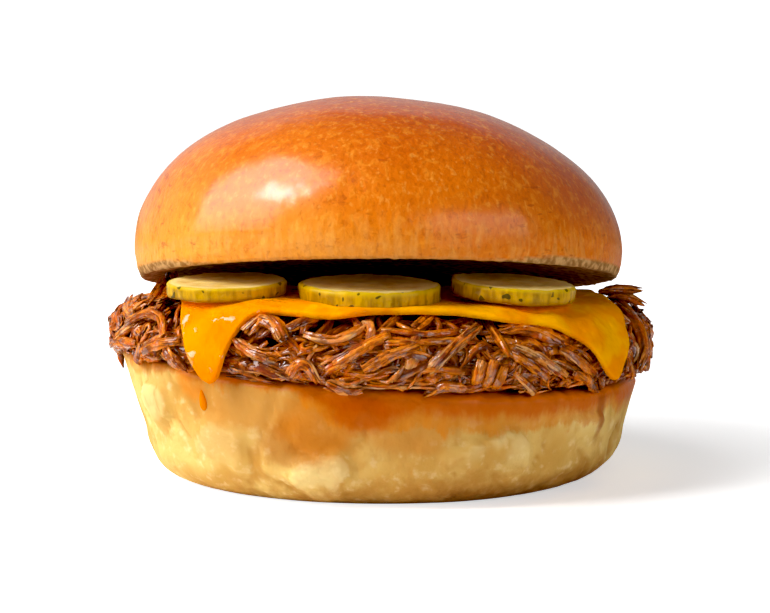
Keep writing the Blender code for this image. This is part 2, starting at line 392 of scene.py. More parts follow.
def soft_min(first, second, blend):
    """The smaller of two heights, with the crease between them rounded over about blend."""
    lowest = min(first, second)
    return lowest - blend * math.log(
        math.exp((lowest - first) / blend) + math.exp((lowest - second) / blend)
    )


def heap_top(x, y):
    """Height of the heap: level under the pickles, then following the crown down to the back."""
    under_crown = CROWN_SEAT - math.tan(CROWN_TILT) * y - HEAP_TO_CROWN
    return soft_min(HEAP_TOP - HEAP_LEAN * x, under_crown, HEAP_CREASE)


def heap_skin(angle, steps=12):
    """Half profile of the heap's upper skin, from its widest ring over the shoulder to the middle."""
    ahead = (math.cos(angle), math.sin(angle))
    widest = HEAP_RADIUS + HEAP_WIDER * ahead[0] ** 2
    shoulder = (HEAP_SHOULDER_RADIUS * ahead[0], HEAP_SHOULDER_RADIUS * ahead[1])
    top = heap_top(*shoulder)
    waist = max(HEAP_WAIST, heel_top(shoulder[0]) + HEAP_CLEAR + HEAP_WAIST_RISE)
    bulge = (widest - HEAP_SHOULDER_RADIUS, top - waist)
    points = [(widest, waist)] + arc((HEAP_SHOULDER_RADIUS, waist), bulge, 0, 90, steps)
    for k in reversed(range(steps)):
        radius = HEAP_SHOULDER_RADIUS * k / steps
        points.append((radius, heap_top(radius * ahead[0], radius * ahead[1])))
    return points


def heap_profile(angle, steps=84):
    skin = heap_skin(angle)
    widest, waist = skin[0]
    foot_height = heel_top(HEAP_FOOT_RADIUS * math.cos(angle)) + HEAP_CLEAR
    side = (widest - HEAP_FOOT_RADIUS, waist - foot_height)
    points = [(0.0, heel_top(0.0) + HEAP_CLEAR), (HEAP_FOOT_RADIUS, foot_height)]
    points += arc((HEAP_FOOT_RADIUS, waist), side, -90, 0)
    return evenly(points + skin[1:], steps)


def heap_relief(point):
    """Clumps and hollows of the heap's outside, which the loose meat follows."""
    under = smooth_step(heel_top(point.x), heel_top(point.x) + 3 * MM, point.z)
    return under * 1.5 * MM * (noise.noise(point / (9 * MM)) - 0.3)


heap_bmesh = moulded(heap_profile, 120)
relieved(heap_bmesh, heap_relief)
heap_tree = BVHTree.FromBMesh(heap_bmesh)
heap_bmesh.free()

core_skin = moulded(heap_profile, 200)


def core_relief(point):
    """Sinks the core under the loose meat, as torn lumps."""
    under = smooth_step(heel_top(point.x) + 0.2 * MM, heel_top(point.x) + 1.5 * MM, point.z)
    torn = noise.turbulence(point / (5 * MM), 3, True)
    return under * (CORE_LUMPS * (torn - 0.5) - CORE_DEPTH) - 0.2 * MM


relieved(core_skin, core_relief)
packed = finish("packed_pork", Roughness=0.5, Coat_Weight=0.25, Coat_Roughness=0.1, Specular_IOR_Level=0.05)
packed_tone = packed.mottle(3 * MM, 4.0).rise(0.35, 0.7)
# Packed meat, darkened towards black as painted shade for the hollows that show between the loose shreds.
packed_colour = packed.blend(packed_tone, shade(40, 12, 2), shade(112, 44, 6))
packed.feed(Base_Color=packed_colour, Normal=packed.bump(packed.mottle(1.5 * MM, 4.0), 0.6 * MM))
served("pork_core", core_skin, packed, "pork", "pulled_pork")

cheese_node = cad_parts["cheese_slice"].data
cheese_tree = BVHTree.FromPolygons(
    [vertex.co for vertex in cheese_node.vertices],
    [tuple(polygon.vertices) for polygon in cheese_node.polygons],
)


def rod(sides, rings):
    """A unit rod along Z with closed ends: the blank that every shred of one kind is bent from."""
    blank = bmesh.new()
    bmesh.ops.create_cone(blank, cap_ends=True, segments=sides, radius1=1.0, radius2=1.0, depth=1.0)
    long_edges = [e for e in blank.edges if abs(e.verts[0].co.z - e.verts[1].co.z) > 0.5]
    bmesh.ops.subdivide_edges(blank, edges=long_edges, cuts=rings - 1, use_grid_fill=True)
    return blank


def laid_path(draw, start, heading, length, rings, depth, curl, lift, weave):
    """Centre line of a shred that follows the heap's skin from start, sunk to depth below it. Its
    ends rise by lift, it winds in and out by weave, and its heading turns by curl on the way."""
    point, normal = heap_tree.find_nearest(start)[:2]
    ahead = heading - normal * heading.dot(normal)
    ahead.normalize()
    wave = draw.uniform(0, FULL_TURN)
    points = []
    normals = []
    for k in range(rings + 1):
        share = k / rings
        rise = lift[0] * (1 - share) ** 3 + lift[1] * share**3 + weave * math.sin(wave + 6 * share)
        points.append(point + normal * (rise - depth))
        normals.append(normal)
        turn = curl / rings * (1 + 1.2 * math.sin(wave + 7 * share))
        ahead.rotate(Matrix.Rotation(turn, 3, normal))
        point, normal = heap_tree.find_nearest(point + ahead * (length / rings))[:2]
        ahead -= normal * ahead.dot(normal)
        ahead.normalize()
    return points, normals


def lies_free(points, radius):
    """Whether a path keeps clear of the heel and the cheese, and stays out of the heap's middle."""
    for point in points:
        reach = math.hypot(point.x, point.y)
        if reach < 30 * MM or reach > HEAP_RADIUS + 0.8 * MM - radius:
            return False
        if reach < HEEL_RIM_RADIUS and point.z < heel_top(point.x) + radius:
            return False
        if point.z < heel_top(point.x) - 2.0 * MM:
            return False
        if cheese_tree.find_nearest(point)[3] < radius * 0.8 + 0.2 * MM:
            return False
    return True


def scattered_start(draw):
    """A random place on the side or the shoulder of the heap."""
    angle = draw.uniform(-math.pi, math.pi)
    radius = draw.choice((draw.uniform(44, 52), 60, 68, 72)) * MM
    lowest = heel_top(radius * math.cos(angle))
    height = lowest + (HEAP_TOP + 1 * MM - lowest) * draw.uniform(0.0, 1.0) ** 1.4
    return Vector((radius * math.cos(angle), radius * math.sin(angle), height))


def scattered_heading(draw, start, spread):
    """A direction round the heap, turned up or down by a random angle of about spread."""
    along = Vector((-start.y, start.x, 0.0)).normalized() * draw.choice((-1, 1))
    tilt = draw.gauss(0.0, spread)
    return along * math.cos(tilt) + Vector((0.0, 0.0, math.sin(tilt)))


def shred(draw, path, normals, width, flatness, torn_end=0.45, tone=None, depth=0.0):
    """A piece of meat along a path: widest in its middle, with flat torn ends."""
    rings = len(path) - 1
    shares = [k / rings for k in range(rings + 1)]
    swell = [1 - (1 - torn_end) * abs(2 * share - 1) ** draw.uniform(2.5, 5.0) for share in shares]
    wide = [width * s * draw.uniform(0.84, 1.14) for s in swell]
    ends = [min(1.0, 0.3 + 3.5 * min(share, 1 - share)) for share in shares]
    thick = [w * flatness * end * draw.uniform(0.9, 1.1) for w, end in zip(wide, ends)]
    tone = draw.random() if tone is None else tone
    # The stored tone is darkened the deeper the shred lies under the heap's skin: painted shade.
    return {
        "path": path, "normals": normals, "wide": wide, "thick": thick, "twist": draw.uniform(-1.5, 1.5),
        "tone": max(0.0, tone - depth / (6 * MM)), "seed": draw.random(),
    }


def bent_rods(name, sides, rings, shreds, recipe):
    """One mesh of many shreds, each a copy of the blank rod bent along its path."""
    blank = rod(sides, rings)
    mesh = bpy.data.meshes.new(name)
    blank.to_mesh(mesh)
    blank.free()
    stand = bpy.data.objects.new(name + "_blank", mesh)
    bpy.context.scene.collection.objects.link(stand)
    copies = stand.modifiers.new("copies", "ARRAY")
    copies.use_relative_offset = False
    copies.count = len(shreds)
    copied = bpy.data.meshes.new_from_object(stand.evaluated_get(bpy.context.evaluated_depsgraph_get()))
    unit = np.array([vertex.co for vertex in mesh.vertices])
    bpy.data.objects.remove(stand)

    ring = np.rint((unit[:, 2] + 0.5) * rings).astype(int)
    around = np.arctan2(unit[:, 1], unit[:, 0])[None]
    gather = {key: np.array([each[key] for each in shreds]) for key in ("wide", "thick", "twist", "tone", "seed")}
    path = np.array([[tuple(point) for point in each["path"]] for each in shreds])
    off = np.array([[tuple(normal) for normal in each["normals"]] for each in shreds])
    ahead = np.gradient(path, axis=1)
    ahead /= np.linalg.norm(ahead, axis=2, keepdims=True)
    across = np.cross(off, ahead)
    across /= np.linalg.norm(across, axis=2, keepdims=True)
    off = np.cross(ahead, across)
    share = ring[None] / rings
    seed = gather["seed"][:, None]
    lobes = 1.0
    for ribs, depth in ((2, 0.10), (3, 0.12), (5, 0.12), (7, 0.10)):
        lobes = lobes + depth * np.sin(ribs * around + 40 * ribs * seed + 5 * share * np.cos(60 * seed))
    turned = around + gather["twist"][:, None] * share
    reach_across = gather["wide"][:, ring] * lobes * np.cos(turned)
    reach_off = gather["thick"][:, ring] * lobes * np.sin(turned)
    place = path[:, ring] + across[:, ring] * reach_across[..., None] + off[:, ring] * reach_off[..., None]
    copied.vertices.foreach_set("co", place.astype(np.float32).ravel())

    lengths = np.linalg.norm(np.diff(path, axis=1), axis=2).cumsum(axis=1)
    travelled = np.concatenate([np.zeros((len(shreds), 1)), lengths], axis=1)
    grain = np.stack([travelled[:, ring], reach_across, reach_off + seed], axis=2)
    grain_layer = copied.attributes.new("grain", "FLOAT_VECTOR", "POINT")
    grain_layer.data.foreach_set("vector", grain.astype(np.float32).ravel())
    # Crest says which side of a shred faces out from the heap, and ridge where its lobes dip; the meat paints shade
    # from both.
    crest = np.sin(turned) * np.ones_like(reach_off)
    kept = {"tone": gather["tone"][:, None] * np.ones_like(crest), "crest": crest, "ridge": lobes - 1.0}
    for layer_name, values in kept.items():
        layer = copied.attributes.new(layer_name, "FLOAT", "POINT")
        layer.data.foreach_set("value", values.astype(np.float32).ravel())
    copied.update()
    copied.name = name
    return served(name, copied, recipe, "pork", "pulled_pork")


def meat(name):
    """Torn pork: grain along each shred, orange sauce in patches, paler dry fibres, wet glints, and painted shade in
    grooves, crevices, on deeper shreds and on each shred's underside.
    """
    recipe = finish(name, Coat_Roughness=0.04, Coat_IOR=1.9, Specular_IOR_Level=0.12,
                    Subsurface_Weight=0.15, Subsurface_Scale=0.0015)
    recipe.shader.inputs["Subsurface Radius"].default_value = (1.0, 0.35, 0.08)
    grain = recipe.node("Attribute", {"attribute_name": "grain"}, {}, "Vector")
    tone, crest, ridge = (
        recipe.node("Attribute", {"attribute_name": layer}, {}, "Fac") for layer in ("tone", "crest", "ridge")
    )
    fibres = recipe.mottle(0.7 * MM, 3.0, recipe.stretched((0.22, 1.0, 1.0), grain))
    coarse = recipe.mottle(1.6 * MM, 3.0, recipe.stretched((0.45, 1.0, 1.0), grain))
    # The tone attribute holds each shred's own tone, darkened with depth as painted shade.
    lean = recipe.blend(tone.rise(0.1, 0.75), shade(132, 48, 3), shade(230, 126, 26))
    lean = recipe.blend(tone.rise(0.78, 0.95) * 0.8, lean, shade(236, 178, 112))
    lean = recipe.blend(fibres.rise(0.45, 0.68) * 0.5, lean, shade(238, 146, 48))
    # Painted shade in the crevices, where the coarse bump is lowest.
    lean = recipe.blend(coarse.rise(0.56, 0.38) * 0.75, lean, shade(104, 36, 4))
    sauced = recipe.mottle(5 * MM, 3.0).rise(0.44, 0.6)
    glazed = recipe.blend(fibres.rise(0.35, 0.7), shade(208, 88, 0), shade(250, 144, 14))
    lean = recipe.blend(sauced * 0.7, lean, glazed)
    # Painted shade in the grooves between the lobes and on the underside that faces the heap.
    lean = recipe.blend(ridge.rise(0.06, -0.2) * 0.7, lean, shade(82, 28, 3))
    lean = recipe.blend(crest.rise(0.1, -0.6) * 0.8, lean, shade(54, 16, 2))
    beads = recipe.mottle(1.0 * MM, 2.0)
    wet = recipe.mottle(1.8 * MM, 2.0).rise(0.5, 0.56)
    rough = 0.55 - sauced * 0.1 + fibres * 0.1 - wet * 0.32
    relief = recipe.bump(fibres, 0.3 * MM)
    relief = recipe.bump(coarse, 0.9 * MM, relief)
    relief = recipe.bump(beads, 0.3 * MM, relief)
    recipe.feed(Base_Color=lean, Roughness=rough, Coat_Weight=0.03 + 0.8 * wet, Normal=relief)
    return recipe


def beside(draw, path, normals, width, rise):
    """A thin fibre bundle that lies on a wider shred and follows it, wandering a little."""
    rings = len(path) - 1
    drift = [draw.uniform(-0.9, 0.9) * width for _ in range(2)]
    points = []
    for ring, (point, normal) in enumerate(zip(path, normals)):
        ahead = path[min(rings, ring + 1)] - path[max(0, ring - 1)]
        across = normal.cross(ahead).normalized()
        share = ring / rings
        shift = drift[0] * (1 - share) + drift[1] * share
        points.append(point + across * shift + normal * (rise * (1 - 0.6 * (shift / width) ** 2)))
    return shred(draw, points, normals, draw.uniform(0.35, 0.6) * MM, 0.9, 0.55)


MEAT_RINGS = 10
strings = []

# Chunks: bundles of fibre that did not tear apart.

CHUNKS = 230
CHUNK_SIDES = 18

draw = random.Random(11)
chunks = []
while len(chunks) < CHUNKS:
    start = scattered_start(draw)
    width = draw.uniform(1.6, 2.8) * MM
    heading = scattered_heading(draw, start, 0.5)
    depth = draw.uniform(1.4, 3.2) * MM
    lift = (draw.uniform(-0.5, 1.0) * MM, draw.uniform(-0.5, 1.0) * MM)
    length = draw.uniform(8, 18) * MM
    path, normals = laid_path(
        draw, start, heading, length, MEAT_RINGS, depth, draw.gauss(0.0, 0.8), lift, 0.6 * MM
    )
    flatness = draw.uniform(0.5, 0.75)
    if lies_free(path, width * flatness):
        chunks.append(shred(draw, path, normals, width, flatness, 0.4, depth=depth - 1.4 * MM))
        strings += [beside(draw, path, normals, width, 0.7 * width * flatness) for _ in range(2)]
bent_rods("pork_chunks", CHUNK_SIDES, MEAT_RINGS, chunks, meat("torn_pork"))


# Shreds: single strips torn along the grain, two or three millimetres thick and often curled.

SHREDS = 1000
SHRED_SIDES = 8

draw = random.Random(23)
shreds = []
while len(shreds) < SHREDS:
    start = scattered_start(draw)
    heading = scattered_heading(draw, start, 0.75)
    depth = draw.uniform(-0.2, 2.2) * MM
    width = draw.uniform(0.5, 1.15) * MM
    lift = (draw.uniform(-1.0, 1.2) * MM, draw.uniform(-1.0, 1.2) * MM)
    length = draw.uniform(7, 20) * MM
    path, normals = laid_path(
        draw, start, heading, length, MEAT_RINGS, depth, draw.gauss(0.0, 1.3), lift, draw.uniform(0.2, 1.1) * MM
    )
    if lies_free(path, width):
        shreds.append(shred(draw, path, normals, width, draw.uniform(0.75, 1.0), depth=depth))
        if draw.random() < 0.6:
            strings.append(beside(draw, path, normals, width, 0.8 * width))
bent_rods("pork_shreds", SHRED_SIDES, MEAT_RINGS, shreds, meat("pork_shred"))


# Strings: fibres pulled out of the shreds, which curl over them.

LOOSE_STRINGS = 330
STRING_SIDES = 5

draw = random.Random(37)
loose = 0
while loose < LOOSE_STRINGS:
    start = scattered_start(draw)
    heading = scattered_heading(draw, start, 0.9)
    depth = draw.uniform(-0.6, 1.0) * MM
    width = draw.uniform(0.25, 0.5) * MM
    lift = (draw.uniform(-1.0, 1.5) * MM, draw.uniform(-1.0, 1.5) * MM)
    length = draw.uniform(5, 15) * MM
    path, normals = laid_path(
        draw, start, heading, length, MEAT_RINGS, depth, draw.gauss(0.0, 1.8), lift, draw.uniform(0.2, 0.8) * MM
    )
    if lies_free(path, width):
        strings.append(shred(draw, path, normals, width, 0.9, 0.6))
        loose += 1
bent_rods("pork_strings", STRING_SIDES, MEAT_RINGS, strings, meat("pork_string"))


# Front shreds: the large pieces that stand out at the open front, each laid one by one. Each has its
# half width, flatness, how far it stands off the heap, tone, and its path seen from the front as
# distances to the right of the stack's axis and heights, all in millimetres.

FRONT_SHREDS = (
    (1.8, 0.7, 0.0, 0.45, (-48.4, 45.0), (-49.0, 43.6), (-49.8, 41.6), (-50.8, 39.5)),
    (1.6, 0.7, 0.6, 0.35, (-48.0, 45.4), (-47.2, 43.8), (-47.4, 41.5), (-47.8, 39.0)),
    (1.1, 0.8, 0.6, 0.85, (-53.0, 36.4), (-54.6, 37.2), (-56.2, 38.0), (-56.8, 39.2)),
    (0.9, 0.8, 0.4, 0.70, (-53.6, 37.4), (-55.4, 38.8), (-54.6, 39.8)),
    (1.7, 0.8, 1.0, 0.92, (-47.8, 40.2), (-45.7, 41.3), (-43.2, 42.4)),
    (1.1, 0.9, 1.4, 0.60, (-54.2, 36.0), (-49.6, 38.4), (-46.2, 37.5), (-45.0, 34.5)),
    (1.7, 0.8, 0.0, 0.60, (-59.6, 27.6), (-58.4, 31.4), (-56.0, 34.4), (-52.7, 37.0)),
    (1.3, 0.9, 0.2, 0.75, (-59.8, 30.8), (-57.4, 31.6), (-52.3, 32.6)),
    (1.0, 0.8, 0.6, 0.50, (-57.0, 31.8), (-59.2, 29.6), (-59.6, 27.0), (-58.9, 24.6)),
    (1.3, 0.9, 1.4, 0.70, (-53.4, 27.2), (-50.7, 30.4), (-47.2, 32.9), (-41.6, 33.6)),
    (1.2, 0.9, 1.2, 0.55, (-52.8, 29.6), (-49.2, 32.4), (-45.3, 34.2)),
    (1.5, 0.8, 0.8, 0.20, (-44.8, 32.4), (-42.6, 30.4), (-40.2, 29.6)),
    (1.2, 0.8, 1.4, 0.65, (-53.8, 27.6), (-52.0, 30.0), (-49.9, 32.5)),
    (2.1, 0.8, 1.4, 0.65, (-27.4, 36.2), (-24.5, 38.3), (-21.6, 38.0), (-19.4, 35.8)),
    (1.2, 0.8, 1.4, 0.90, (-29.9, 35.1), (-26.7, 33.4), (-22.4, 32.2)),
    (1.5, 0.8, 1.2, 0.70, (-19.0, 37.2), (-15.4, 38.7), (-11.4, 39.6)),
    (1.4, 0.9, 1.4, 0.70, (-15.6, 36.4), (-9.3, 35.1), (-3.6, 37.2), (0.9, 39.8)),
    (1.3, 0.8, 1.2, 0.85, (-9.5, 31.6), (-4.0, 34.2), (1.5, 36.4)),
    (1.2, 0.9, 1.2, 0.60, (-18.6, 29.4), (-17.0, 31.6), (-14.6, 31.4), (-12.4, 29.0)),
    (2.0, 0.7, 0.8, 0.88, (-11.1, 28.4), (-7.2, 27.4), (-3.6, 27.4)),
    (0.9, 0.8, 0.4, 0.10, (-32.1, 28.6), (-22.9, 27.9), (-15.6, 27.4), (-7.1, 26.7)),
    (1.6, 0.8, 1.8, 0.97, (2.1, 25.6), (7.8, 29.4), (14.0, 33.6), (19.6, 36.9)),
    (1.1, 0.9, 1.6, 0.75, (17.4, 41.4), (20.6, 38.9), (23.7, 35.1), (25.6, 32.3)),
    (1.3, 0.9, 1.4, 0.70, (17.0, 24.9), (19.0, 28.1), (20.5, 31.4)),
    (1.3, 0.9, 1.6, 0.75, (19.3, 24.5), (21.0, 27.5), (22.7, 31.4)),
    (1.2, 0.9, 1.4, 0.65, (21.9, 24.4), (23.1, 27.0), (24.7, 30.7)),
    (2.0, 0.85, 1.0, 0.55, (24.4, 36.4), (28.6, 36.9), (32.9, 35.9), (37.4, 33.8)),
    (0.6, 0.9, 1.6, 0.75, (26.3, 29.5), (29.5, 27.2), (31.9, 25.1), (34.0, 22.4)),
    (0.8, 0.9, 1.2, 0.70, (35.5, 23.6), (36.2, 26.2), (37.6, 27.5), (38.9, 25.9), (39.5, 23.6)),
    (0.6, 0.9, 1.4, 0.65, (45.1, 27.0), (46.8, 24.6), (47.4, 21.1), (46.9, 17.7)),
    (1.4, 0.8, 1.0, 0.70, (8.9, 25.9), (12.8, 27.7), (17.3, 27.1)),
    (1.3, 0.9, 1.2, 0.65, (-3.7, 30.7), (1.7, 33.2), (7.2, 34.6)),
    (0.7, 0.9, 1.2, 0.60, (-0.1, 37.3), (7.8, 36.5), (16.2, 36.8)),
    (0.7, 0.9, 1.2, 0.50, (0.7, 35.3), (8.6, 35.3), (17.0, 35.4)),
    (1.5, 0.8, 1.0, 0.70, (6.8, 37.4), (9.9, 39.0), (13.2, 39.9)),
    (2.1, 0.8, 0.4, 0.45, (54.1, 37.9), (56.8, 34.2), (57.6, 30.1), (55.4, 26.8)),
    (1.5, 0.8, 0.6, 0.30, (49.3, 40.2), (53.5, 40.9), (58.9, 40.6)),
    (1.5, 0.8, 0.8, 0.35, (51.4, 38.9), (55.1, 39.2), (59.4, 37.2)),
    (1.3, 0.9, 1.2, 0.75, (25.6, 32.9), (29.5, 30.8), (34.3, 28.0)),
    (1.4, 0.8, 0.8, 0.85, (27.2, 33.7), (32.0, 31.8), (37.9, 28.1)),
    (1.2, 0.9, 1.0, 0.60, (39.4, 28.4), (42.8, 26.7), (46.0, 23.7)),
    (1.3, 0.9, 1.0, 0.50, (36.8, 33.0), (40.9, 30.1), (44.3, 27.2)),
)
FRONT_SIDES = 14
FRONT_RINGS = 14
FRONT_FIBRES = 5
FRONT_STRING_SIDES = 7


def on_front(x, z, off):
    """A point of the heap's front, given where it shows from the front and how far it stands off."""
    sight = Vector((x * MM, -0.1, z * MM))
    spot, normal = heap_tree.ray_cast(sight, Vector((0.0, 1.0, 0.0)))[:2]
    if spot is None:
        spot, normal = heap_tree.find_nearest(Vector((x * MM, -5 * MM, z * MM)))[:2]
        spot = Vector((x * MM, spot.y, z * MM))
    return spot + normal * (off * MM), normal


draw = random.Random(5)
front_shreds = []
front_strings = []
for width, flatness, off, tone, *stops in FRONT_SHREDS:
    spans = len(stops) - 1
    placed = [on_front(*stop, off) for stop in stops]
    path = []
    normals = []
    for k in range(FRONT_RINGS + 1):
        along = k / FRONT_RINGS * spans
        before = min(int(along), spans - 1)
        share = along - before
        path.append(placed[before][0].lerp(placed[before + 1][0], share))
        normals.append(placed[before][1].lerp(placed[before + 1][1], share).normalized())
    for turn in range(4):
        path[1:-1] = [(path[k - 1] + 2 * path[k] + path[k + 1]) / 4 for k in range(1, FRONT_RINGS)]
    half_width = 0.85 * width * MM
    front_shreds.append(shred(draw, path, normals, half_width, flatness, 0.45, tone))
    front_strings += [beside(draw, path, normals, half_width, 0.6 * half_width) for _ in range(FRONT_FIBRES)]
bent_rods("pork_front", FRONT_SIDES, FRONT_RINGS, front_shreds, meat("front_pork"))
bent_rods("front_strings", FRONT_STRING_SIDES, FRONT_RINGS, front_strings, meat("front_string"))


# Cheese
# One square slice of processed cheddar, laid a little askew on the hot meat. It has melted over
# the heap, its corners hang, and its cut edges have slumped round.

SLICE_TURN = math.radians(7.5)
SLICE_LOW = (-50.2 * MM, -55.2 * MM)    # the slice's edges before it is turned
SLICE_HIGH = (49.6 * MM, 46.0 * MM)
SLICE_CORNER = 5.0 * MM
SLICE_LIFT = 1.2 * MM
SLICE_THICKNESS = 1.5 * MM
SLICE_CELLS = 92


def walk(line, travel, lift):
    """The point at a distance along a line of (radius, height), lifted off it to the outside."""
    for start, end in zip(line, line[1:]):
        along = Vector(end) - Vector(start)
        if travel <= along.length or end == line[-1]:
            break
        travel -= along.length
    along.normalize()
    return Vector(start) + along * travel + Vector((-along.y, along.x)) * lift


# How the melt drew the edges in: along which edge, where, half width of the notch, depth
SLICE_NOTCHES = (
    ("front", -32 * MM, 9.5 * MM, 8.0 * MM),
    ("front", 2 * MM, 18 * MM, 1.5 * MM),
    ("front", 36 * MM, 13 * MM, 3.0 * MM),
    ("left", -54 * MM, 12 * MM, 2.0 * MM),
    ("left", -30 * MM, 16 * MM, 3.0 * MM),
    ("right", -30 * MM, 14 * MM, 2.5 * MM),
    ("back", 22 * MM, 15 * MM, 6.0 * MM),
    ("left", 24 * MM, 12 * MM, 4.0 * MM),
)


def drawn_in(u, v):
    """Pulls the flat slice's edges in at its notches, more the nearer a point is to that edge."""
    for edge, place, half_width, depth in SLICE_NOTCHES:
        axis = 1 if edge in ("front", "back") else 0
        along = (u, v)[1 - axis]
        across = (u, v)[axis]
        limit = (SLICE_LOW if edge in ("front", "left") else SLICE_HIGH)[axis]
        near = max(0.0, across / limit) ** 4
        shift = -math.copysign(depth, limit) * near * math.exp(-(((along - place) / half_width) ** 2))
        u, v = (u, v + shift) if axis else (u + shift, v)
    return u, v


def rounded_corner(u, v):
    """Moves a point of the flat square so that the square's corners become round."""
    middle = [0.5 * (low + high) for low, high in zip(SLICE_LOW, SLICE_HIGH)]
    half = [0.5 * (high - low) - SLICE_CORNER for low, high in zip(SLICE_LOW, SLICE_HIGH)]
    over_u = abs(u - middle[0]) - half[0]
    over_v = abs(v - middle[1]) - half[1]
    if over_u > 0 and over_v > 0:
        pull = max(over_u, over_v) / math.hypot(over_u, over_v)
        u = middle[0] + math.copysign(half[0] + over_u * pull, u - middle[0])
        v = middle[1] + math.copysign(half[1] + over_v * pull, v - middle[1])
    return u, v


def draped(u, v):
    """Where a point of the flat slice comes to lie on the heap."""
    flat = Vector(drawn_in(*rounded_corner(u, v)))
    waver = 1 + 0.022 * noise.noise(Vector((u, v, 0.0)) / (11 * MM)) * smooth_step(30 * MM, 50 * MM, flat.length)
    flat = Matrix.Rotation(SLICE_TURN, 2) @ flat * waver
    angle = math.atan2(flat.y, flat.x)
    skin = heap_skin(angle)[::-1]
    line = skin + [(skin[-1][0], skin[-1][1] - HEEL_HEIGHT)]
    spot = walk(line, flat.length, SLICE_LIFT)
    return Vector((spot.x * math.cos(angle), spot.x * math.sin(angle), spot.y))


slice_skin = bmesh.new()
bmesh.ops.create_grid(slice_skin, x_segments=SLICE_CELLS, y_segments=SLICE_CELLS, size=1.0)
for vertex in slice_skin.verts:
    u, v = (
        low + (high - low) * 0.5 * (share + 1)
        for low, high, share in zip(SLICE_LOW, SLICE_HIGH, (vertex.co.x, vertex.co.y))
    )
    vertex.co = draped(u, v)
slice_skin.normal_update()
if sum(face.normal.z for face in slice_skin.faces) < 0:
    bmesh.ops.reverse_faces(slice_skin, faces=slice_skin.faces)
bmesh.ops.smooth_vert(slice_skin, verts=slice_skin.verts, factor=0.5, use_axis_x=True, use_axis_y=True, use_axis_z=True)


def slice_relief(point):
    """The melted cheese sags between the lumps of meat under it."""
    side = 1 - smooth_step(36 * MM, 41 * MM, point.z)
    lumps = noise.noise(point / (6.5 * MM))
    crinkle = noise.noise(point / (2.6 * MM))
    return (0.35 + 0.35 * side) * MM * lumps + 0.16 * MM * side * crinkle


relieved(slice_skin, slice_relief)
slice_mesh = bpy.data.meshes.new("cheese")
slice_skin.to_mesh(slice_mesh)
slice_skin.free()

cheddar = finish("melted_cheese", Coat_Roughness=0.06, Coat_IOR=2.0, Subsurface_Weight=0.2,
                 Subsurface_Scale=0.003, Specular_IOR_Level=0.0)
cheddar.shader.inputs["Subsurface Radius"].default_value = (1.0, 0.45, 0.08)
cheddar_tone = cheddar.mottle(9 * MM, 3.0).rise(0.4, 0.6)
cheddar_colour = cheddar.blend(cheddar_tone, shade(255, 172, 0), shade(246, 144, 0))
# Darker orange on the left, which faces the key light: painted shade.
cheddar_left = cheddar.axis("X").rise(-12 * MM, -38 * MM)
cheddar_colour = cheddar.blend(cheddar_left * 0.6, cheddar_colour, shade(230, 122, 0))
cheddar_low = cheddar.axis("Z").rise(37 * MM, 27 * MM) * cheddar.axis("X").rise(30 * MM, 10 * MM)
cheddar_colour = cheddar.blend(cheddar_low * 0.5, cheddar_colour, shade(232, 116, 0))
puckers = cheddar.mottle(2.0 * MM, 2.0, cheddar.stretched((1.0, 1.0, 0.6)))
cheddar_bump = cheddar.bump(cheddar.mottle(4.5 * MM, 3.0), 0.8 * MM, None, 0.7)
cheddar_bump = cheddar.bump(puckers, 0.5 * MM, cheddar_bump, 0.8)
puddled = cheddar.mottle(7 * MM, 1.0).rise(0.44, 0.54)
greased = puckers.rise(0.575, 0.63) * puddled * cheddar.axis("X").rise(5 * MM, -20 * MM)
cheddar.feed(Base_Color=cheddar_colour, Roughness=0.34 + 0.12 * cheddar.mottle(3 * MM),
             Coat_Weight=0.9 * greased, Normal=cheddar_bump)
cheese = served("cheese", slice_mesh, cheddar, "cheese", "cheese_slice")
wall = cheese.modifiers.new("wall", "SOLIDIFY")
wall.thickness = SLICE_THICKNESS
wall.offset = 1.0
soft = cheese.modifiers.new("soft", "SUBSURF")
soft.levels = 1
soft.render_levels = 1

DRIP_ANGLE = math.radians(-130)
DRIP_HEIGHT = 22.0 * MM
DRIP_HALF = (1.2 * MM, 2.4 * MM, 0.5 * MM)

drip_skin = bmesh.new()
bmesh.ops.create_uvsphere(drip_skin, u_segments=24, v_segments=16, radius=1.0)
for vertex in drip_skin.verts:
    vertex.co.x *= 0.75 - 0.35 * vertex.co.y
bmesh.ops.scale(drip_skin, vec=DRIP_HALF, verts=drip_skin.verts)
outward = Vector((math.cos(DRIP_ANGLE), math.sin(DRIP_ANGLE), 0.0))
drip_spot, drip_normal = heel_tree.ray_cast(outward * 0.1 + Vector((0.0, 0.0, DRIP_HEIGHT)), -outward)[:2]
faced = drip_normal.to_track_quat("Z", "Y").to_matrix().to_4x4()
bmesh.ops.transform(drip_skin, matrix=Matrix.Translation(drip_spot) @ faced, verts=drip_skin.verts)
served("cheese_drip", drip_skin, cheddar, "cheese", "cheese_slice")


# Pickles
# Three rounds cut across a small gherkin: warty skin round the edge, pale wet flesh and soft
# seeds in the middle. They lie side by side on the cheese along the open front.

PICKLE_ROUNDS = {                       # middle, radius, thickness, dip to the front, dip to the right
    "pickle_left": ("pickle_slice_left", (-33.0, -34.8, 44.9), 12.9, 3.0, 2.6, -1.0),
    "pickle_middle": ("pickle_slice_middle", (-2.4, -39.0, 43.9), 15.0, 4.6, 2.4, 1.0),
    "pickle_right": ("pickle_slice_right", (28.2, -35.6, 44.6), 13.3, 3.4, 2.0, 4.0),
}
PICKLE_EDGE = 0.5 * MM

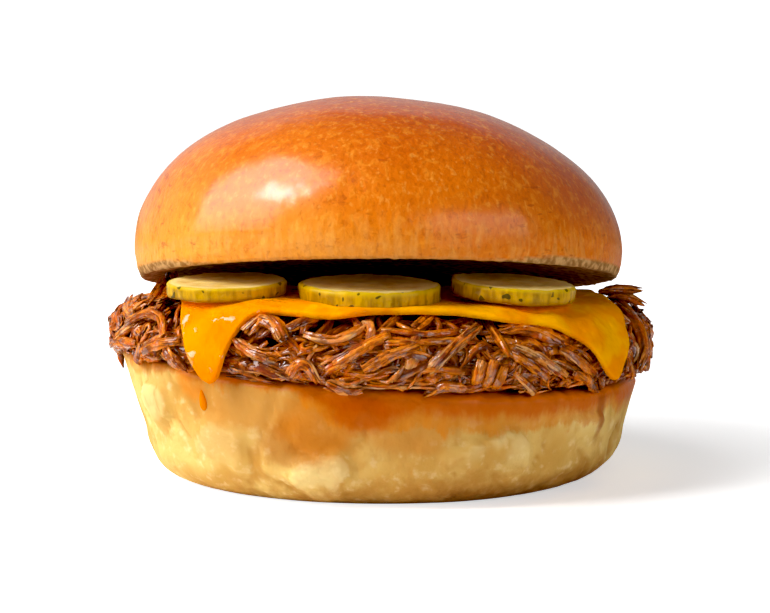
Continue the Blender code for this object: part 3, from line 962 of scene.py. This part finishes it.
gherkin = finish("gherkin", Coat_Weight=0.15, Coat_Roughness=0.1, Subsurface_Weight=0.3,
                 Subsurface_Scale=0.004, Specular_IOR_Level=0.06)
gherkin.shader.inputs["Subsurface Radius"].default_value = (0.8, 0.7, 0.2)
cut = gherkin.node("Attribute", {"attribute_name": "cut"}, {}, "Vector")
cut_radius = gherkin.node("VectorMath", {"operation": "LENGTH"}, {0: gherkin.stretched((1.0, 1.0, 0.0), cut)}, "Value")
cut_height = gherkin.node("SeparateXYZ", {}, {0: cut}, "Z")
skin_side = cut_radius.rise(0.925, 0.985)
flesh = gherkin.blend(gherkin.mottle(3.5 * MM, 3.0).rise(0.35, 0.7), shade(244, 208, 124), shade(228, 182, 82))
# Paler towards the skin: partly the flesh's own colour, partly painted light.
flesh = gherkin.blend(cut_radius.rise(0.7, 0.92), flesh, shade(252, 224, 142))
streaks = gherkin.mottle(1.6 * MM, 3.0, gherkin.stretched((1.0, 1.0, 0.25)))
peel = gherkin.blend(streaks.rise(0.36, 0.66), shade(208, 160, 2), shade(158, 116, 0))
# The skin is painted darker towards the bottom of the round and lighter along its top edge: painted shade and painted
# highlight.
peel = gherkin.blend(cut_height.rise(-0.1, -0.95) * 0.75, peel, shade(138, 88, 0))
peel = gherkin.blend(cut_height.rise(0.35, 0.9) * 0.7, peel, shade(214, 178, 24))
dotted = gherkin.mottle(1.7 * MM, 0.0)
peel = gherkin.blend(dotted.rise(0.68, 0.72) * 0.85, peel, shade(58, 50, 2))
gherkin_colour = gherkin.blend(skin_side, flesh, peel)
gherkin_bump = gherkin.bump(gherkin.mottle(1.4 * MM, 3.0), 0.3 * MM)
gherkin.feed(Base_Color=gherkin_colour, Roughness=0.36, Normal=gherkin_bump)


def pickle_round(name, node, middle, radius, thickness, dip, roll):
    half = 0.5 * thickness * MM
    edge = radius * MM
    core = edge - PICKLE_EDGE

    def profile(angle):
        points = [(0.0, -half), (core, -half)]
        points += arc((core, PICKLE_EDGE - half), (PICKLE_EDGE, PICKLE_EDGE), -90, 0, 4)
        points += arc((core, half - PICKLE_EDGE), (PICKLE_EDGE, PICKLE_EDGE), 0, 90, 4)
        return evenly(points + [(0.0, half)], 68)

    skin = moulded(profile, 150)
    cut_layer = skin.verts.layers.float_vector.new("cut")
    for vertex in skin.verts:
        vertex[cut_layer] = (vertex.co.x / edge, vertex.co.y / edge, vertex.co.z / half)
    shift = Vector(middle)

    def warts(point):
        reach = math.hypot(point.x, point.y) / edge
        peel_share = smooth_step(0.9, 0.99, reach)
        wart = noise.noise((point / MM + shift) / 2.2)
        outline = 0.35 * MM * noise.noise((point / MM + shift) / 9.0)
        dent = 0.12 * MM * noise.noise((point / MM - shift) / 2.5)
        return peel_share * (0.28 * MM * wart + outline) + (1 - peel_share) * dent

    relieved(skin, warts)
    turn = Matrix.Rotation(math.radians(roll), 4, "Y") @ Matrix.Rotation(math.radians(dip), 4, "X")
    bmesh.ops.transform(skin, matrix=Matrix.Translation(shift * MM) @ turn, verts=skin.verts)
    served(name, skin, gherkin, "pickle", node)


for name, (node, *sizes) in PICKLE_ROUNDS.items():
    pickle_round(name, node, *sizes)


# Crown
# The domed top of the bun, brushed with egg before baking, so its crust is glossy and deep gold.
# It is cut from the heel, and it leans back because the pickles lift its front.

CROWN_RADIUS = 55.8 * MM
CROWN_HEIGHT = 41.0 * MM
CROWN_WIDEST = 6.0 * MM
CROWN_RIM_TUCK = 1.6 * MM
CROWN_FULLNESS = 2.08
CROWN_DISH = 3.0 * MM
CROWN_APEX_SHIFT = -3.0 * MM
CROWN_OFFSET = -0.6 * MM
CROWN_RINGS = 176
CROWN_SEGMENTS = 300
CROWN_OPEN_HEIGHT = 1.9 * MM
CROWN_OPEN_ANGLES = (-28, -165)         # where the torn crumb shows under the crust


def crown_profile(angle):
    rim = CROWN_RADIUS - CROWN_RIM_TUCK
    points = [(rim * k / 8, CROWN_DISH * (1 - (k / 8) ** 4)) for k in range(9)]
    points.append((CROWN_RADIUS - 0.3 * CROWN_RIM_TUCK, 0.4 * CROWN_WIDEST))
    dome_steps = 60
    for k in range(dome_steps + 1):
        turn = 0.5 * math.pi * k / dome_steps
        radius = CROWN_RADIUS * max(0.0, math.cos(turn)) ** (2 / CROWN_FULLNESS)
        rise = (CROWN_HEIGHT - CROWN_WIDEST) * math.sin(turn) ** (2 / CROWN_FULLNESS)
        points.append((radius if k < dome_steps else 0.0, CROWN_WIDEST + rise))
    return evenly(points, CROWN_RINGS)


crown_skin = moulded(crown_profile, CROWN_SEGMENTS)
crumb_layer = crown_skin.verts.layers.float.new("crumb")
bake_layer = crown_skin.verts.layers.float.new("bake")
for vertex in crown_skin.verts:
    reach = math.hypot(vertex.co.x, vertex.co.y)
    inside = 1 - smooth_step(CROWN_RADIUS - 2.6 * MM, CROWN_RADIUS - 1.8 * MM, reach)
    angle = math.atan2(vertex.co.y, vertex.co.x)
    nearest = max(math.cos(angle - math.radians(middle)) for middle in CROWN_OPEN_ANGLES)
    torn_height = CROWN_OPEN_HEIGHT * smooth_step(0.8, 1.0, nearest)
    low = 1 - smooth_step(-0.1 * MM, 0.4 * MM, vertex.co.z - torn_height)
    vertex[crumb_layer] = max(low, inside * (1 - smooth_step(3.0 * MM, 8 * MM, vertex.co.z)))
    vertex[bake_layer] = vertex.co.z / CROWN_HEIGHT


def crown_relief(point):
    """A gently uneven dome with shallow wrinkles, and a torn, open crumb on the cut face."""
    reach = math.hypot(point.x, point.y)
    crumb = 1 - smooth_step(2.0 * MM, 3.4 * MM, point.z)
    dome = 0.55 * MM * noise.noise(point / (24 * MM)) + 0.10 * MM * noise.noise(point / (6 * MM))
    wrinkled = 0.35 + 0.65 * smooth_step(0.0, 0.4, noise.noise(point / (20 * MM) + Vector((3.1, 0.7, 5.2))))
    fold = abs(noise.noise(Vector((point.x, point.y, 0.5 * point.z)) / (4.0 * MM)))
    dome -= 0.12 * MM * wrinkled * (1 - smooth_step(0.0, 0.15, fold))
    torn = 0.35 * MM * noise.turbulence(point / (2.4 * MM), 3, True) - 0.15 * MM
    return dome * (1 - crumb) + torn * crumb * smooth_step(0.0, 5 * MM, reach)


relieved(crown_skin, crown_relief)
for vertex in crown_skin.verts:
    vertex.co.x += CROWN_APEX_SHIFT * max(0.0, vertex.co.z / CROWN_HEIGHT) ** 1.5
seat = Matrix.Translation((CROWN_OFFSET, 0.0, CROWN_SEAT)) @ Matrix.Rotation(-CROWN_TILT, 4, "X")
bmesh.ops.transform(crown_skin, matrix=seat, verts=crown_skin.verts)

crust = finish("egg_washed_crust", Coat_Roughness=0.2, Coat_IOR=1.62, Specular_IOR_Level=0.03)
bake = crust.node("Attribute", {"attribute_name": "bake"}, {}, "Fac")
crumb = crust.node("Attribute", {"attribute_name": "crumb"}, {}, "Fac")
crust_x = crust.axis("X")
# Browner on top from the bake, patchy at random, and browner towards the right: partly uneven baking, partly painted
# shade on the side away from the key.
browning = bake * 0.8 + (crust.mottle(22 * MM, 3.0) - 0.5) * 0.5 + crust_x * 5.0 + 0.15
gold = crust.blend(browning.rise(-0.1, 0.4), shade(232, 150, 48), shade(222, 114, 8))
gold = crust.blend(browning.rise(0.35, 0.95), gold, shade(194, 78, 0))
flecks = crust.mottle(2.2 * MM, 4.0, None, 0.6, 0.5)
gold = crust.blend(flecks.rise(0.5, 0.68) * 0.38, gold, shade(244, 156, 44))
gold = crust.blend(flecks.rise(0.44, 0.32) * 0.4, gold, shade(176, 74, 4))
streaky = crust.mottle(1.6 * MM, 3.0, crust.stretched((1.0, 1.0, 0.2)))
gold = crust.blend(bake.rise(0.3, 0.08) * streaky.rise(0.4, 0.66) * 0.5, gold, shade(232, 158, 72))
speckle = crust.mottle(1.2 * MM, 3.0, crust.stretched((1.0, 1.0, 0.6)))
gold = crust.blend(speckle.rise(0.56, 0.72) * 0.35, gold, shade(246, 172, 70))
gold = crust.blend(speckle.rise(0.42, 0.3) * 0.3, gold, shade(164, 66, 4))
dashed = crust.mottle(2.2 * MM, 2.0, crust.stretched((0.5, 0.5, 1.6))).rise(0.62, 0.7)
dashed = dashed * crust.mottle(16 * MM, 1.0).rise(0.48, 0.6)
gold = crust.blend(dashed * 0.5, gold, shade(158, 58, 10))
# The torn crumb is painted grey-brown: painted shade of the underside over the crumb's pale colour.
crumb_colour = crust.blend(crust.mottle(1.6 * MM, 3.0).rise(0.4, 0.65), shade(150, 106, 58), shade(206, 160, 102))
gold = crust.blend(crumb, gold, crumb_colour)
cell_bump = crust.bump(crust.cells(1.8 * MM, "DISTANCE_TO_EDGE", crust.stretched((1.0, 1.0, 0.6))), 0.2 * MM)
cell_bump = crust.bump(crust.mottle(0.9 * MM, 3.0), 0.14 * MM, cell_bump)
cell_bump = crust.bump(flecks, 0.3 * MM, cell_bump, 0.7)
glazed = (0.8 - 0.8 * crumb) * (0.2 + 0.8 * bake.rise(0.05, 0.34))
crust.feed(Base_Color=gold, Roughness=0.42 + 0.4 * crumb, Coat_Weight=glazed, Normal=cell_bump)
served("crown", crown_skin, crust, "bun_crust", "bun_crown")


# Studio
# A white sweep under a large soft box above and to the left, with a smaller one beside it, a
# pale reflector at the right and a white backdrop behind. The room in front is dark, which keeps the glaze's colour deep.

floor_mesh = bpy.data.meshes.new("floor")
floor_skin = bmesh.new()
bmesh.ops.create_grid(floor_skin, x_segments=1, y_segments=1, size=6.0)
floor_skin.to_mesh(floor_mesh)
floor_skin.free()
floor = bpy.data.objects.new("floor", floor_mesh)
bpy.context.scene.collection.objects.link(floor)
sweep = finish("white_sweep", Base_Color=(0.9, 0.9, 0.9, 1.0), Roughness=0.9, Specular_IOR_Level=0.0,
               Emission_Strength=1.0)
seen = sweep.node("LightPath", {}, {}, "Is Camera Ray")
# The sweep glows for the camera only: less near the stack so its shadow shows, and more on the left, a painted pool of
# light that washes out the shadow there.
from_middle = sweep.node("VectorMath", {"operation": "LENGTH"}, {0: sweep.place}, "Value")
lit_side = sweep.axis("X").rise(0.05, -0.03)
paper = seen * (from_middle.rise(0.12, 0.45) * 0.5 + 0.5 + lit_side * 0.4)
sweep.feed(Emission_Color=sweep.blend(paper, (0.0, 0.0, 0.0, 1.0), (1.0, 1.0, 1.0, 1.0)))
floor_mesh.materials.append(sweep.block)


def soft_box(name, size, place, aim, energy):
    """A rectangular area light that faces a point."""
    lamp = bpy.data.lights.new(name, "AREA")
    lamp.shape = "RECTANGLE"
    lamp.size, lamp.size_y = size
    lamp.energy = energy
    holder = bpy.data.objects.new(name, lamp)
    holder.location = place
    holder.rotation_euler = (Vector(aim) - Vector(place)).to_track_quat("-Z", "Y").to_euler()
    bpy.context.scene.collection.objects.link(holder)
    return holder


MIDDLE = (0.0, 0.0, 0.045)
soft_box("key", (0.62, 0.95), (-0.58, -0.18, 0.52), MIDDLE, 8.4)
soft_box("sparkle", (0.24, 0.24), (-0.5, -0.33, 0.6), MIDDLE, 2.3)
soft_box("reflector", (0.7, 0.4), (0.56, -0.5, 0.22), MIDDLE, 1.7)

room = Recipe(bpy.data.worlds.new("white_room"), "Background", "Generated", {})
bpy.context.scene.world = room.block
backdrop = room.axis("Y").rise(0.15, 0.6) * (1 - room.axis("Z").rise(0.58, 0.68))
backdrop = backdrop * (1 - room.axis("X").rise(0.1, 0.6) * 0.8)
camera_sees = room.node("LightPath", {}, {}, "Is Camera Ray")
glow = 0.09 + backdrop * 0.42
room.feed(Color=(1.0, 1.0, 1.0, 1.0), Strength=glow + camera_sees * (1.1 - glow))
view = bpy.context.scene.view_settings
view.view_transform = "Standard"
view.use_curve_mapping = True
view.curve_mapping.black_level = (0.006, 0.006, 0.006)

CAMERA_ELEVATION = math.radians(6.0)
CAMERA_DISTANCE = 0.52
CAMERA_AIM = Vector((0.0008, 0.0, 0.0371))
camera_data = bpy.data.cameras.new("camera")
camera_data.sensor_width = 36.0
camera_data.lens = 105.7
camera = bpy.data.objects.new("camera", camera_data)
back_off = Vector((0.0, -math.cos(CAMERA_ELEVATION), math.sin(CAMERA_ELEVATION))) * CAMERA_DISTANCE
camera.location = CAMERA_AIM + back_off
camera.rotation_euler = (math.radians(90.0) - CAMERA_ELEVATION, 0.0, 0.0)
bpy.context.scene.collection.objects.link(camera)
bpy.context.scene.camera = camera
